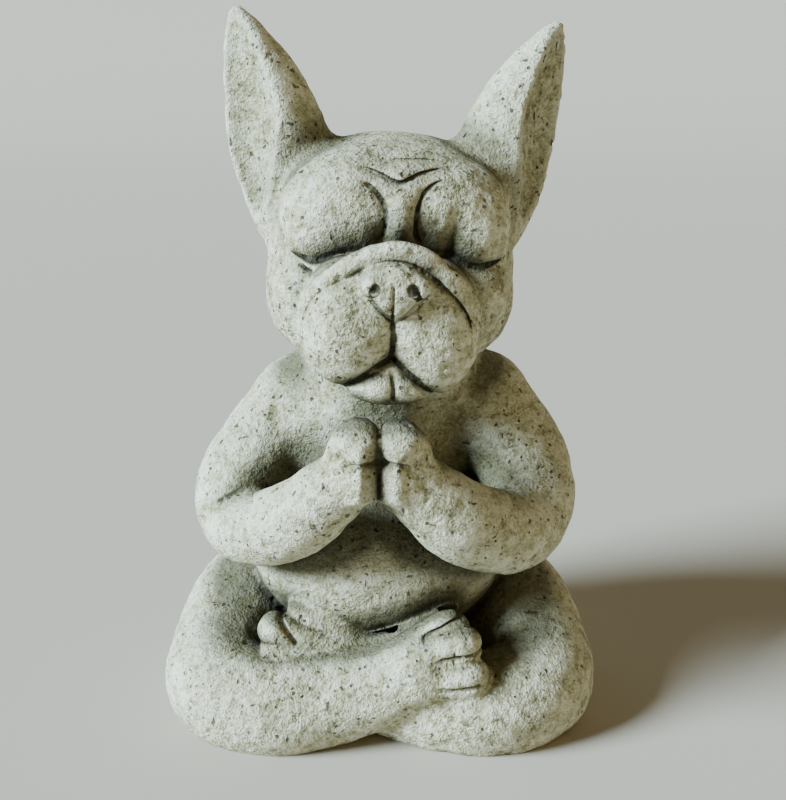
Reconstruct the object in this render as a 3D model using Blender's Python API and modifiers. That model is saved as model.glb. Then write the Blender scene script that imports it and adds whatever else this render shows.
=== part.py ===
# A garden statue of a bulldog that sits cross-legged with its front paws together, cast in stone in one piece.
# The figure is drawn on a grid of 280 units to its height, with +Y to its back and Z = 0 on the ground,
# and is moved at the end so that the middle of its footprint is the origin.

import math

import bmesh
import bpy
import numpy as np
from mathutils import Euler, Matrix

HEIGHT = 0.280
GRID = 280.0
UNIT = HEIGHT / GRID

SLIM = 0.95
EVEN_OUT = 0.4
ROUGH_VOXEL = 2.4
FINE_VOXEL = 1.9
TRIANGLES = 9600
GROUND_TRIM = 0.020
FINEST_CREASE = 1.3
STONE = (0.50, 0.49, 0.40)

HEAD_CENTRE = (5.5, -10.0, 188.0)
HEAD_ROLL = 2.6
HEAD_YAW = 3.5
MUZZLE_X = -1.3
PALMS_X = 1.3
MIDDLE = (1.0, -2.2)


def smooth_min(a, b, blend):
    """The lower of two fields, rounded over where they come within blend of each other."""
    near = np.clip(1.0 - np.abs(a - b) / blend, 0.0, None)
    return np.minimum(a, b) - near * near * blend * 0.25


def smooth_max(a, b, blend):
    return -smooth_min(-a, -b, blend)


def curve_through(points, steps):
    """Points on a smooth curve through the given ones, with any further columns, such as a radius, carried along."""
    knots = np.asarray(points, float)
    ends = np.vstack([2 * knots[0] - knots[1], knots, 2 * knots[-1] - knots[-2]])
    found = []
    for a, b, c, d in zip(ends[:-3], ends[1:-2], ends[2:-1], ends[3:]):
        for t in np.arange(steps) / steps:
            found.append(0.5 * (2 * b + (c - a) * t + (2 * a - 5 * b + 4 * c - d) * t**2
                                + (3 * b - a - 3 * c + d) * t**3))
    return np.vstack([found, knots[-1:]])


def turned(angles):
    return np.array(Euler([math.radians(a) for a in angles]).to_matrix())


def box_of(pieces):
    low = np.min([c - r.max() for c, r, _ in pieces], axis=0)
    high = np.max([c + r.max() for c, r, _ in pieces], axis=0)
    return low, high


class Ball:
    """An ellipsoid, turned by three angles in degrees."""

    def __init__(self, centre, radii, turn=(0, 0, 0), blend=4.0):
        self.centre = np.array(centre, float)
        self.radii = np.array(radii, float)
        self.axes = turned(turn)
        self.blend = blend
        self.pieces = [(self.centre, self.radii, self.axes)]
        self.box = box_of(self.pieces)

    def field(self, points):
        local = (points - self.centre) @ self.axes
        scaled = np.linalg.norm(local / self.radii, axis=1)
        slope = np.linalg.norm(local / self.radii**2, axis=1) + 1e-9
        return scaled * (scaled - 1.0) / slope


class Block(Ball):
    """A box with rounded edges, turned by three angles in degrees."""

    def __init__(self, centre, halves, turn=(0, 0, 0), edge=2.0, blend=4.0):
        super().__init__(centre, halves, turn, blend)
        self.edge = edge

    def field(self, points):
        local = np.abs((points - self.centre) @ self.axes) - (self.radii - self.edge)
        outside = np.linalg.norm(np.maximum(local, 0.0), axis=1)
        return outside + np.minimum(local.max(axis=1), 0.0) - self.edge


class Limb:
    """A round limb along a smooth curve. Each point gives x, y, z and the radius there."""

    def __init__(self, points, blend=4.0, steps=4):
        self.spine = curve_through(points, steps)
        self.blend = blend
        self.pieces = [(p[:3], np.full(3, p[3]), np.eye(3)) for p in self.spine]
        self.box = box_of(self.pieces)

    def field(self, points):
        best = np.full(len(points), 1e9)
        for start, end in zip(self.spine[:-1], self.spine[1:]):
            along = end[:3] - start[:3]
            offset = points - start[:3]
            share = np.clip(offset @ along / (along @ along), 0.0, 1.0)
            offset -= share[:, None] * along
            best = np.minimum(best, np.sqrt(np.einsum("ij,ij->i", offset, offset)) - start[3]
                              - share * (end[3] - start[3]))
        return best


class Crease:
    """A groove pressed into the front of a form, along a curve. Each point gives x, z and the depth there."""

    def __init__(self, points, width, front=-12.0, steps=5):
        self.line = curve_through(points, steps)
        self.width = max(width, FINEST_CREASE)
        self.front = front
        self.blend = self.width * 2.5
        self.pieces = []
        low, high = self.line.min(axis=0), self.line.max(axis=0)
        self.box = (np.array([low[0], -150.0, low[1]]), np.array([high[0], front, high[1]]))

    def press(self, points):
        flat = points[:, (0, 2)]
        best = np.full(len(points), 1e9)
        deep = np.zeros(len(points))
        for start, end in zip(self.line[:-1], self.line[1:]):
            along = (end - start)[:2]
            offset = flat - start[:2]
            share = np.clip(offset @ along / (along @ along), 0.0, 1.0)
            gap = ((offset - share[:, None] * along) ** 2).sum(axis=1)
            deep = np.where(gap < best, start[2] + share * (end[2] - start[2]), deep)
            best = np.minimum(best, gap)
        shown = np.clip((self.front - points[:, 1]) / 6.0, 0.0, 1.0)
        return shown * deep * np.exp(-best / self.width**2)


class Cut:
    """A form scooped out of what came before it."""

    def __init__(self, form, blend=1.5):
        self.form = form
        self.blend = blend
        self.pieces = []
        self.box = form.box


class Keep(Cut):
    """A form that trims away what lies outside it."""


class Group:
    """Forms that are fused in turn, in a frame of their own."""

    def __init__(self, forms, centre=(0, 0, 0), turn=(0, 0, 0), blend=4.0):
        self.forms = forms
        self.centre = np.array(centre, float)
        self.axes = turned(turn)
        self.blend = blend
        self.pieces = [(self.axes @ c + self.centre, r, self.axes @ a) for f in forms for c, r, a in f.pieces]
        self.box = box_of(self.pieces)

    def field(self, points):
        local = (points - self.centre) @ self.axes
        total = np.full(len(points), 60.0)
        for form in self.forms:
            reach = form.blend + 5.0
            low, high = form.box
            near = np.nonzero(((local > low - reach) & (local < high + reach)).all(axis=1))[0]
            if not len(near):
                continue
            part = local[near]
            if isinstance(form, Crease):
                total[near] += form.press(part)
            elif isinstance(form, Keep):
                total = smooth_max(total, form.form.field(local), form.blend)
            elif isinstance(form, Cut):
                total[near] = smooth_max(total[near], -form.form.field(part), form.blend)
            else:
                total[near] = smooth_min(total[near], form.field(part), form.blend)
        return total


def both(make):
    """The forms that make gives for the viewer's left and right."""
    return [form for side in (-1, 1) for form in make(side)]


def ear(side, face_turn):
    cone = [(46, 11, 10, 7), (45, 13, 22, 13), (44, 14, 38, 19), (49, 15, 56, 16.5), (55.5, 15.5, 73, 10.5),
            (60.5, 16, 86.5, 3.2)]
    out = (side * math.sin(math.radians(face_turn)), -math.cos(math.radians(face_turn)))
    hollow = [(side * x + out[0] * lift, y + out[1] * lift, z, chord) for x, y, z, chord, lift in [
        (52, 4, 8, 4.0, 5.0), (53, 5, 20, 9.5, 7.5), (54, 7, 40, 16.0, 12.0), (56, 7, 56, 19.0, 14.0),
        (59, 10.5, 73, 13.0, 10.5), (61.5, 14, 88, 7.0, 7.6)]]
    return Group([Limb([(side * x, y, z, r) for x, y, z, r in cone], blend=1, steps=8),
                  Cut(Limb(hollow, steps=8), blend=1.0)], blend=9)


def skull():
    forms = [Ball((0, 8, 13), (43, 40, 31), blend=1), Ball((0, 4, 30), (34, 34, 15.5), blend=8),
             Ball((0, -12, 23), (40, 22, 18.5), blend=6), Ball((0, -20, -30), (30, 27, 17), blend=8)]
    forms += both(lambda s: [Ball((s * 23, -4, -14), (25, 30, 25), blend=8)])
    forms += both(lambda s: [Ball((s * 28, 0, 2), (19, 24, 17), blend=8)])
    forms += both(lambda s: [Ball((s * 25.5, -20.5, -8), (17, 14.5, 14.5), blend=6)])
    forms += [Ball((-21, -14, 20), (19.5, 18.5, 18), turn=(0, -8, 0), blend=9),  # brows
              Ball((22, -14, 20), (19, 18, 17), turn=(0, 8, 0), blend=9),
              Ball((-12.6, -23.5, 16), (8.4, 10, 15), turn=(0, -8, 0), blend=5),  # their inner folds
              Ball((14.2, -23.5, 17), (8.2, 10, 14.5), turn=(0, 10, 0), blend=5),
              Ball((-27.5, -19, 14.5), (13.5, 14, 12), turn=(0, -6, 0), blend=7),  # closed lids
              Ball((29, -19, 13.5), (12.5, 14.5, 11.5), turn=(0, 4, 0), blend=6),
              Ball((0.4, -24, 20), (6, 13, 17), blend=4)]
    forms += [
        Crease([(-15, 37.6, 0.3), (-11, 36.9, 1.3), (-7, 35.6, 1.7), (-3.5, 33.9, 1.9), (0, 32.9, 2.0),
                (3.5, 34.4, 1.8), (7.3, 35.9, 1.7), (12, 37.1, 1.5), (16.9, 37.7, 0.5)], 0.8),
        Crease([(-3, 33.4, 0.6), (0, 32.4, 1.2), (3, 33.6, 0.6)], 2.4),
        Crease([(-7.1, 40.1, 0.4), (-1.7, 40, 0.9), (3.7, 40.2, 1.0), (9.2, 40.2, 1.0), (13, 39.9, 0.9),
                (18, 39.1, 0.8), (24, 38.2, 0.3)], 0.8),
        Crease([(-14, 33.2, 0.3), (-9.9, 31.2, 1.4), (-7.3, 28.6, 2.2), (-5.6, 26, 2.6), (-4.7, 23, 2.8),
                (-4.6, 19.4, 2.6), (-5.0, 16, 2.4), (-6.8, 13, 1.8)], 0.8),
        Crease([(17, 34.6, 0.3), (13.6, 33.6, 1.2), (10.7, 31.9, 1.8), (8.3, 29.4, 2.3), (7, 26.6, 2.6),
                (6.4, 23.5, 2.6), (5.9, 19.8, 2.6), (6.0, 15.9, 2.4), (7.3, 12.8, 1.8)], 0.8),
        Crease([(-23, 21, 0.2), (-21, 15, 1.6), (-19.4, 11, 3.2), (-18.4, 7.5, 3.8)], 3.4),
        Crease([(22.5, 27, 0.2), (21, 21, 1.8), (19.6, 15.5, 3.8), (18.8, 11, 4.6), (18.4, 7.5, 4.8)], 3.6),
        Crease([(-37.6, 6.2, 0.6), (-35, 5.4, 1.6), (-33, 4.6, 2.4), (-30, 4.1, 2.8), (-27, 4.2, 2.8),
                (-24, 5.0, 2.6), (-21, 5.7, 2.4), (-18.2, 6.6, 1.6)], 0.7),
        Crease([(18.6, 7.0, 2.2), (20.8, 6.2, 2.6), (23.4, 5.1, 2.8), (26.3, 4.2, 3.0), (30, 3.7, 3.0),
                (33.6, 4.1, 2.6), (36.9, 4.9, 1.6), (39.2, 5.6, 0.6)], 0.75),
        Limb([(-34.5, -26.5, 3.2, 0.9), (-31.5, -30.6, 2.1, 1.2), (-28, -33.2, 2.0, 1.3), (-24.5, -35.5, 3.2, 0.9)],
             blend=1.2),
        Crease([(-35, 2.6, 0.5), (-31.5, 0.6, 1.4), (-27, 0.2, 1.3), (-23, 1.8, 0.5)], 0.9),
    ]
    return forms


def muzzle():
    x = MUZZLE_X
    rope = Limb([(-33, -30, -25, 2.0), (-32.4, -36.5, -16, 3.0), (-29.7, -41.5, -8, 3.6), (-25.5, -44.3, -1.5, 4),
                 (-19.5, -45.3, 4, 4), (-12, -46, 8.6, 4), (-1.5, -46.6, 11.6, 4), (8, -46.2, 9.6, 4),
                 (14.5, -45.4, 5, 4), (20, -44.6, -0.5, 4), (25, -42.5, -7, 3.8), (28, -37.5, -15, 3.2),
                 (29, -31, -24, 2.2)], blend=4)
    forms = [Block((-2, -34, -12), (31, 19, 19), edge=16, blend=1), Ball((x, -38, -4), (24, 17, 13), blend=5),
             Ball((x - 15.5, -39, -21), (17, 17, 18.5), turn=(0, -10, 0), blend=6),  # flews
             Ball((x + 15.5, -39, -22.5), (16.5, 17, 20), turn=(0, 10, 0), blend=6)]
    forms += [Crease([(-2.0, -10.5, 1.0), (-1.6, -15, 2.4), (-1.3, -20, 2.7), (-1.6, -25, 2.3)], 0.8)]
    forms += [Ball((x, -39.5, -37), (18.5, 14.5, 9), blend=0.8), Ball((x, -42, -31), (10, 9.5, 7), blend=2),  # chin
              Ball((-5.8, -48.5, -37.5), (4.8, 4.5, 5), blend=2), Ball((4.2, -48.5, -37.5), (4.8, 4.5, 5), blend=2)]
    forms += [
        Crease([(-1.4, -31, 0.5), (-0.8, -34, 1.6), (-0.6, -37, 2.2), (-0.5, -42, 2.2)], 0.9),
        Crease([(-1.6, -25.5, 2.4), (-3.8, -27.3, 2.4), (-7.3, -29.4, 2.4), (-10.7, -32, 2.2), (-14.1, -35, 2.0),
                (-17.6, -38, 1.4)], 0.8),
        Crease([(-1.6, -25.5, 2.4), (0.5, -27.3, 2.6), (3.5, -30, 2.6), (7.2, -33, 2.6), (11, -36.5, 2.6),
                (14.5, -39.8, 2.2), (17.5, -42, 1.2)], 0.8),
        Crease([(-33.2, -17, 0.4), (-32.2, -11.8, 1.2), (-30.2, -6.8, 2.0), (-26.7, -2.8, 2.3), (-22.3, 0.3, 2.2),
                (-18.5, 2.4, 2.0), (-13.8, 4.9, 1.9), (-8.7, 7.5, 1.8), (-5.4, 8.6, 1.7), (-1.9, 9.0, 1.6),
                (1.5, 8.6, 1.7), (5.1, 7.4, 1.9), (9.2, 4.8, 2.1), (13.2, 1.9, 2.3), (17.0, -1.2, 2.4),
                (20.9, -5.0, 2.4), (24.0, -9.3, 2.0), (25.9, -14, 1.2), (27, -18, 0.4)], 0.75),
    ]
    forms += [Ball((x, -48.5, 2.5), (11.5, 9.5, 7), blend=3),  # nose
              Group([Block((x, -51, -1.6), (7.3, 8, 7.3), turn=(0, 45, 0), edge=1.2),
                     Keep(Ball((x, -44, -0.5), (14, 15.6, 14)))], blend=1.5),
              Ball((x - 7.4, -52.5, 0.9), (5, 6.4, 4.8), blend=2), Ball((x + 7.8, -52.5, 0.9), (5, 6.4, 5), blend=2)]
    forms += [Cut(Ball((-8.3, -57, 0.4), (1.6, 7, 1.8)), blend=0.6),
              Cut(Limb([(-8.5, -57, 0.2, 1.2), (-9.6, -56, -1.6, 1.1), (-9.9, -55, -3.0, 0.8)]), blend=0.6),
              Cut(Ball((4.4, -57, 0.6), (2.0, 7.5, 2.3)), blend=0.6),
              Cut(Limb([(3.6, -58, 1.2, 1.2), (5.4, -57, -1.2, 1.5), (6.9, -56, -2.8, 1.0)]), blend=0.6),
              Crease([(x - 1.1, 3, 0.3), (x - 1.1, 0, 1.4), (x - 1, -5, 1.8), (x - 0.8, -10.5, 1.8)], 0.6),
              Crease([(-10.8, -2.8, 0.4), (-7.8, -6.4, 0.9), (-5.1, -9.0, 1.1), (-2.2, -11.8, 1.2)], 0.8),
              Crease([(9.6, -3.0, 0.4), (6.2, -6.2, 0.7), (3.1, -9.0, 0.8), (-0.6, -11.8, 1.0)], 0.8)]
    return [rope, Group(forms, blend=2)]


def head():
    return Group(skull() + muzzle() + [ear(-1, 40), ear(1, 55)], HEAD_CENTRE,
                 (0, HEAD_ROLL, HEAD_YAW), blend=4)


def torso():
    return Group([
        Ball((0, 22, 24), (54, 38, 32), blend=1), Ball((0, -6.5, 61.5), (54, 42, 38.5), blend=6),
        Ball((-2, 1, 104), (38, 31, 42), blend=10), Ball((1, 20, 86), (43, 34, 56), blend=14),
        Limb([(6.5, 3, 160, 37), (3, 7, 124, 34)], blend=12), Ball((-30, 6, 119), (24, 23, 24), blend=9),
        Ball((40, 6, 121), (25, 23, 24), blend=8),
        Cut(Ball((31, -38, 113), (16, 22, 24)), blend=8), Cut(Ball((-27, -42, 108), (11, 20, 22)), blend=8),
        Block((0, -24, 9), (50, 32, 11), edge=7, blend=4),
        Ball((0, 60, 14), (10, 10, 9), blend=5),
    ])


def arm(side):
    if side < 0:
        upper = [(-34, 5, 118, 21), (-47.5, -3, 104, 20.5), (-56, -14, 93.5, 18.6), (-58, -22, 89, 16.5)]
        fore = [(-58.5, -18, 84.5, 15.2), (-53, -34, 84.5, 15.2), (-43, -43.5, 87.5, 15), (-30, -53, 96, 15),
                (-18, -58, 108, 13.2), (-9.8, -60, 116, 12)]
    else:
        upper = [(42, 5, 120, 21.5), (56.5, -3, 106, 20.5), (62.5, -14, 94, 19), (63, -22, 89, 17.5)]
        fore = [(63, -19, 85.5, 17), (58, -32, 83.5, 17), (48, -42, 85, 16.5), (32, -54, 95.5, 16),
                (20, -58, 107, 13.8), (12, -60, 115, 12)]
    folds = {-1: [(-69, 91, 0.3), (-64, 94, 1.2), (-59.5, 96.8, 1.8), (-54.5, 99.2, 1.8), (-50.5, 100.2, 1.2)],
             1: [(48, 97, 0.4), (50.5, 99.5, 1.4), (54, 100.2, 1.4), (58, 98.4, 1.0), (62, 96, 0.3)]}
    return Group([Limb(upper, blend=1, steps=10), Limb(fore, blend=1.5, steps=10),
                  Crease(folds[side], 1.3, front=-31)], blend=3)


def front_paws():
    x = PALMS_X
    forms = [Group([Block((x - 7, -63.5, 127), (8.4, 8.4, 15.5), (0, 0, 45), edge=0.8),
                    Keep(Ball((x - 7.5, -61.5, 118), (12.5, 15.5, 21.5)), blend=0.8)], blend=1),
             Group([Block((x + 7.3, -63.5, 127), (8.4, 8.4, 15.5), (0, 0, 45), edge=1.6),
                    Keep(Ball((x + 7.5, -61.5, 117.5), (12.5, 15.5, 21.5)), blend=0.8)], blend=1)]
    forms += [Crease([(x - 16.5, 119, 1), (x - 12, 124, 1.6), (x - 6, 126, 1.8), (x, 125.2, 1.8), (x + 6, 126.4, 1.8),
                      (x + 10, 124.8, 1.8), (x + 15, 120, 1)], 1.0, front=-52),
              Crease([(x, 142, 1.5), (x, 130, 2.4), (x, 120, 2.8), (x, 112, 2.6), (x, 106, 1)], 0.9, front=-52)]
    return Group(forms, blend=3)


def leg(side):
    if side < 0:
        points = [(-34, 22, 34, 31), (-55, 0, 29, 27), (-64, -24, 19, 24), (-63, -42, 15, 23), (-44, -52.5, 13, 21.5),
                  (-20, -52.5, 16, 19.5), (2, -55, 23, 16), (16, -57, 31, 14.5)]
    else:
        points = [(34, 22, 34, 31), (56, 0, 29, 27), (66, -24, 19, 24), (65, -42, 15, 22.5), (46, -52, 12, 21.5),
                  (23, -51, 11.5, 18.5), (2, -46, 12.5, 14.8), (-13, -41, 20, 12.3), (-24, -39, 31.5, 10.5)]
    return Limb(points, blend=2, steps=8)


def hind_paw(toes, creases, front):
    return Group([Limb(points, blend=1) for points in toes]
                 + [Crease([(x, z, 2.0) for x, z in points], 1.0, front=front) for points in creases], blend=3)


def front_foot():
    return hind_paw([
        [(10, -55, 33, 9.5), (20, -52, 41, 8.5), (27, -52, 47, 7.5), (30, -52, 48, 7)],
        [(12, -56, 32, 10), (24, -57, 39.5, 9.5), (33, -58, 42.5, 9)],
        [(12, -58, 27, 10), (25, -61, 30.5, 9.5), (35.5, -62, 32, 8.8)],
        [(14, -58, 22, 9), (25, -60, 20, 8), (31, -60, 19.5, 7)],
    ], [
        [(18.9, 46.4), (24, 49.5), (29.4, 52.3), (34.5, 53.2)],
        [(16.2, 37.3), (22.2, 39.9), (29.2, 41.8), (36.1, 42.9), (42, 42.6)],
        [(19.5, 31.4), (24.5, 30.4), (29.2, 30.2), (33, 30.8), (39.5, 31.6)],
    ], front=-44)


def lap_foot():
    return hind_paw([
        [(-12, -38, 33, 10), (-22, -37, 41, 9), (-31, -38, 46, 6.5)],
        [(-18, -40, 32, 10), (-32, -42, 37, 9), (-40.5, -43, 41.5, 8)],
        [(-26, -43, 30, 9), (-41, -46, 32.5, 7.5)],
    ], [
        [(-41, 50.5), (-39.3, 48.4), (-36, 43.5), (-32.7, 39.1)],
        [(-50, 37), (-47, 34.5), (-42, 31.8), (-36.7, 29.7)],
    ], front=-28)


def figure():
    return Group([torso(), leg(1), leg(-1), lap_foot(), front_foot(), arm(-1), arm(1), front_paws(), head()])


def fused(form, voxel):
    """Rough balls for every form, fused into one skin."""
    mesh = bpy.data.meshes.new("rough")
    work = bmesh.new()
    for centre, radii, axes in form.pieces:
        place = Matrix.Translation(centre) @ Matrix(axes.tolist()).to_4x4() @ Matrix.Diagonal((*radii, 1.0))
        bmesh.ops.create_icosphere(work, subdivisions=3, radius=SLIM, matrix=place)
    work.to_mesh(mesh)
    work.free()
    return remeshed(mesh, voxel)


def remeshed(mesh, voxel):
    helper = bpy.data.objects.new("helper", mesh)
    bpy.context.collection.objects.link(helper)
    remesh = helper.modifiers.new("Remesh", "REMESH")
    remesh.mode = "VOXEL"
    remesh.voxel_size = voxel
    graph = bpy.context.evaluated_depsgraph_get()
    made = bpy.data.meshes.new_from_object(helper.evaluated_get(graph))
    bpy.data.objects.remove(helper)
    return made


def settle(mesh, form, rounds, reach):
    """Moves the skin onto the blended form a little at a time, evening out its points on the way."""
    points = np.empty(len(mesh.vertices) * 3, np.float32)
    mesh.vertices.foreach_get("co", points)
    points = points.reshape(-1, 3).astype(float)
    ends = np.empty(len(mesh.edges) * 2, np.int32)
    mesh.edges.foreach_get("vertices", ends)
    a, b = ends.reshape(-1, 2).T
    count = np.bincount(ends, minlength=len(points))[:, None]
    step = 0.05
    for turn in range(rounds):
        if turn < rounds - 1:
            total = np.stack([np.bincount(a, points[b, i], len(points)) + np.bincount(b, points[a, i], len(points))
                              for i in range(3)], axis=1)
            points += EVEN_OUT * (total / count - points)
        here = form.field(points)
        slope = np.stack([form.field(points + step * axis) - here for axis in np.eye(3)], axis=1) / step
        size = np.maximum((slope**2).sum(axis=1), 0.2)
        move = -(here / size)[:, None] * slope
        length = np.linalg.norm(move, axis=1)
        points += move * np.minimum(0.9, reach / np.maximum(length, 1e-9))[:, None]
    mesh.vertices.foreach_set("co", points.astype(np.float32).ravel())
    mesh.update()
    return mesh


def sculpted():
    form = figure()
    mesh = settle(fused(form, ROUGH_VOXEL), form, 8, 2.0)
    mesh = settle(remeshed(mesh, FINE_VOXEL), form, 6, 1.0)
    mesh.transform(Matrix.Scale(UNIT, 4) @ Matrix.Translation((-MIDDLE[0], -MIDDLE[1], 0.0)))
    return mesh


def collection(name):
    made = bpy.data.collections.new(name)
    bpy.context.scene.collection.children.link(made)
    return made


def stone():
    material = bpy.data.materials.new("cast_stone")
    material.use_nodes = True
    shader = material.node_tree.nodes["Principled BSDF"]
    shader.inputs["Base Color"].default_value = (*STONE, 1.0)
    shader.inputs["Roughness"].default_value = 0.9
    shader.inputs["Metallic"].default_value = 0.0
    return material


def ground_cutter(into):
    """A slab under the ground that trims the underside flat."""
    mesh = bpy.data.meshes.new("ground_cutter")
    work = bmesh.new()
    place = Matrix.Translation((0, 0, -GROUND_TRIM / 2)) @ Matrix.Diagonal((0.4, 0.4, GROUND_TRIM, 1.0))
    bmesh.ops.create_cube(work, size=1.0, matrix=place)
    work.to_mesh(mesh)
    work.free()
    cutter = bpy.data.objects.new("ground_cutter", mesh)
    cutter.display_type = "WIRE"
    cutter.hide_render = True
    into.objects.link(cutter)
    return cutter


def main():
    for obj in list(bpy.data.objects):
        bpy.data.objects.remove(obj)
    mesh = sculpted()
    mesh.materials.append(stone())
    statue = bpy.data.objects.new("statue", mesh)
    collection("bulldog_statue").objects.link(statue)
    cutter = ground_cutter(collection("cutters"))
    thin = statue.modifiers.new("Fewer faces", "DECIMATE")
    thin.ratio = TRIANGLES / (2 * len(mesh.polygons))
    thin.use_collapse_triangulate = True
    trim = statue.modifiers.new("Flat underside", "BOOLEAN")
    trim.operation = "DIFFERENCE"
    trim.solver = "EXACT"
    trim.object = cutter


if __name__ == "__main__":
    main()
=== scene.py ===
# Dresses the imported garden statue: one casting in weathered stone, modelled finely over the same forms
# as the solid. Forms are drawn in millimetres on the grid of the 280 mm figure, y to its back and z = 0
# on the ground.

import math

import bmesh
import bpy
import numpy as np
from mathutils import Euler, Matrix, Vector, kdtree, noise


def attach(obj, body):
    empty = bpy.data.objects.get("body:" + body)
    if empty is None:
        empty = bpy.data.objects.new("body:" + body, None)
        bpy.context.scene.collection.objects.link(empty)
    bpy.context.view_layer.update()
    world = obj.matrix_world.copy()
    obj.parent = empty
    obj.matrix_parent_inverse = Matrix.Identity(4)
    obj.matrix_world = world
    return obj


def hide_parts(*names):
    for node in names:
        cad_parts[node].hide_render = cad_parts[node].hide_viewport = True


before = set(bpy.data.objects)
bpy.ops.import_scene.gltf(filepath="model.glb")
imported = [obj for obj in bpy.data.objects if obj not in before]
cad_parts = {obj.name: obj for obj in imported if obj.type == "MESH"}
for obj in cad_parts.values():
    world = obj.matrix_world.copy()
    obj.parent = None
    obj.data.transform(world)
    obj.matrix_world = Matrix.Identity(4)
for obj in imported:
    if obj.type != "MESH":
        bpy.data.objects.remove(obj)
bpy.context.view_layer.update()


# Forms: each gives the distance from a point to its surface, and they are blended into one another.

farAway = 60.0  # mm, given where no form is near
creaseProfile = ((0.68, 0.75), (0.32, 2.4))  # share of the depth and widths across: a line in worn shoulders
creaseEnd = 5.0     # widths out from its line
creaseFadeIn = 6.0  # mm in front of its plane


def smoothMin(a, b, blend):
    near = np.clip(1.0 - np.abs(a - b) / blend, 0.0, None)
    return np.minimum(a, b) - near * near * blend * 0.25


def smoothMax(a, b, blend):
    return -smoothMin(-a, -b, blend)


def turned(angles):
    return np.array(Euler([math.radians(a) for a in angles]).to_matrix())


def curveThrough(points, steps):
    knots = np.asarray(points, float)
    ends = np.vstack([2 * knots[0] - knots[1], knots, 2 * knots[-1] - knots[-2]])
    found = []
    for a, b, c, d in zip(ends[:-3], ends[1:-2], ends[2:-1], ends[3:]):
        for t in np.arange(steps) / steps:
            found.append(0.5 * (2 * b + (c - a) * t + (2 * a - 5 * b + 4 * c - d) * t**2
                                + (3 * b - a - 3 * c + d) * t**3))
    return np.vstack([found, knots[-1:]])


def form(field, low, high, blend, how="add"):
    low, high = np.asarray(low, float), np.asarray(high, float)
    return {"field": field, "low": low, "high": high, "blend": blend, "how": how}


def ball(centre, radii, turn=(0, 0, 0), blend=4.0):
    middle, radii, axes = np.array(centre, float), np.array(radii, float), turned(turn)

    def field(points, reach):
        local = (points - middle) @ axes
        scaled = np.linalg.norm(local / radii, axis=1)
        return scaled * (scaled - 1.0) / (np.linalg.norm(local / radii**2, axis=1) + 1e-9)

    return form(field, middle - radii.max(), middle + radii.max(), blend)


def block(centre, halves, turn=(0, 0, 0), edge=2.0, blend=4.0):
    middle, halves, axes = np.array(centre, float), np.array(halves, float), turned(turn)

    def field(points, reach):
        local = np.abs((points - middle) @ axes) - (halves - edge)
        return np.linalg.norm(np.maximum(local, 0.0), axis=1) + np.minimum(local.max(axis=1), 0.0) - edge

    return form(field, middle - halves.max() * 1.5, middle + halves.max() * 1.5, blend)


def limb(points, blend=4.0, steps=4):
    spine = curveThrough(points, steps)

    def field(points, reach):
        best = np.full(len(points), 1e9)
        for start, end in zip(spine[:-1], spine[1:]):
            along = end[:3] - start[:3]
            offset = points - start[:3]
            share = np.clip(offset @ along / (along @ along), 0.0, 1.0)
            offset -= share[:, None] * along
            gap = np.sqrt(np.einsum("ij,ij->i", offset, offset)) - start[3] - share * (end[3] - start[3])
            best = np.minimum(best, gap)
        return best

    radii = spine[:, 3:4]
    return form(field, (spine[:, :3] - radii).min(axis=0), (spine[:, :3] + radii).max(axis=0), blend)


# A groove in whatever lies before the plane at front, each point as x, z and depth.
def crease(points, width, front=-12.0, steps=5):
    line = curveThrough(points, steps)

    def field(points, reach):
        flat = points[:, (0, 2)]
        best, deep = np.full(len(points), 1e9), np.zeros(len(points))
        for start, end in zip(line[:-1], line[1:]):
            along = (end - start)[:2]
            offset = flat - start[:2]
            share = np.clip(offset @ along / (along @ along), 0.0, 1.0)
            gap = ((offset - share[:, None] * along) ** 2).sum(axis=1)
            deep = np.where(gap < best, start[2] + share * (end[2] - start[2]), deep)
            best = np.minimum(best, gap)
        profile = sum(share * np.exp(-best / (spread * width) ** 2) for share, spread in creaseProfile)
        return np.clip((front - points[:, 1]) / creaseFadeIn, 0.0, 1.0) * deep * profile

    low, high = line.min(axis=0), line.max(axis=0)
    return form(field, (low[0], -150.0, low[1]), (high[0], front, high[1]), width * creaseEnd, "press")


def cut(shape, blend=1.5):
    return {**shape, "blend": blend, "how": "cut"}


def keep(shape, blend=1.5):
    return {**shape, "blend": blend, "how": "keep"}


def group(forms, centre=(0, 0, 0), turn=(0, 0, 0), blend=4.0):
    middle, axes = np.array(centre, float), turned(turn)

    def field(points, reach):
        local = (points - middle) @ axes
        total = np.full(len(points), farAway)
        for one in forms:
            if one["how"] == "keep":
                total = smoothMax(total, one["field"](local, reach), one["blend"])
                continue
            margin = one["blend"] + reach
            inside = (local > one["low"] - margin) & (local < one["high"] + margin)
            near = np.nonzero(inside.all(axis=1))[0]
            if not len(near):
                continue
            there = one["field"](local[near], reach)
            if one["how"] == "press":
                total[near] += there
            elif one["how"] == "cut":
                total[near] = smoothMax(total[near], -there, one["blend"])
            else:
                total[near] = smoothMin(total[near], there, one["blend"])
        return total

    solid = [one for one in forms if one["how"] == "add"]
    corners = [(x, y, z) for one in solid for x in (one["low"][0], one["high"][0])
               for y in (one["low"][1], one["high"][1]) for z in (one["low"][2], one["high"][2])]
    placed = np.array(corners) @ axes.T + middle
    return form(field, placed.min(axis=0), placed.max(axis=0), blend)


def both(make):
    return [one for side in (-1, 1) for one in make(side)]


# The figure. Sides are the viewer's: -1 is the left of the picture.

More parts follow.
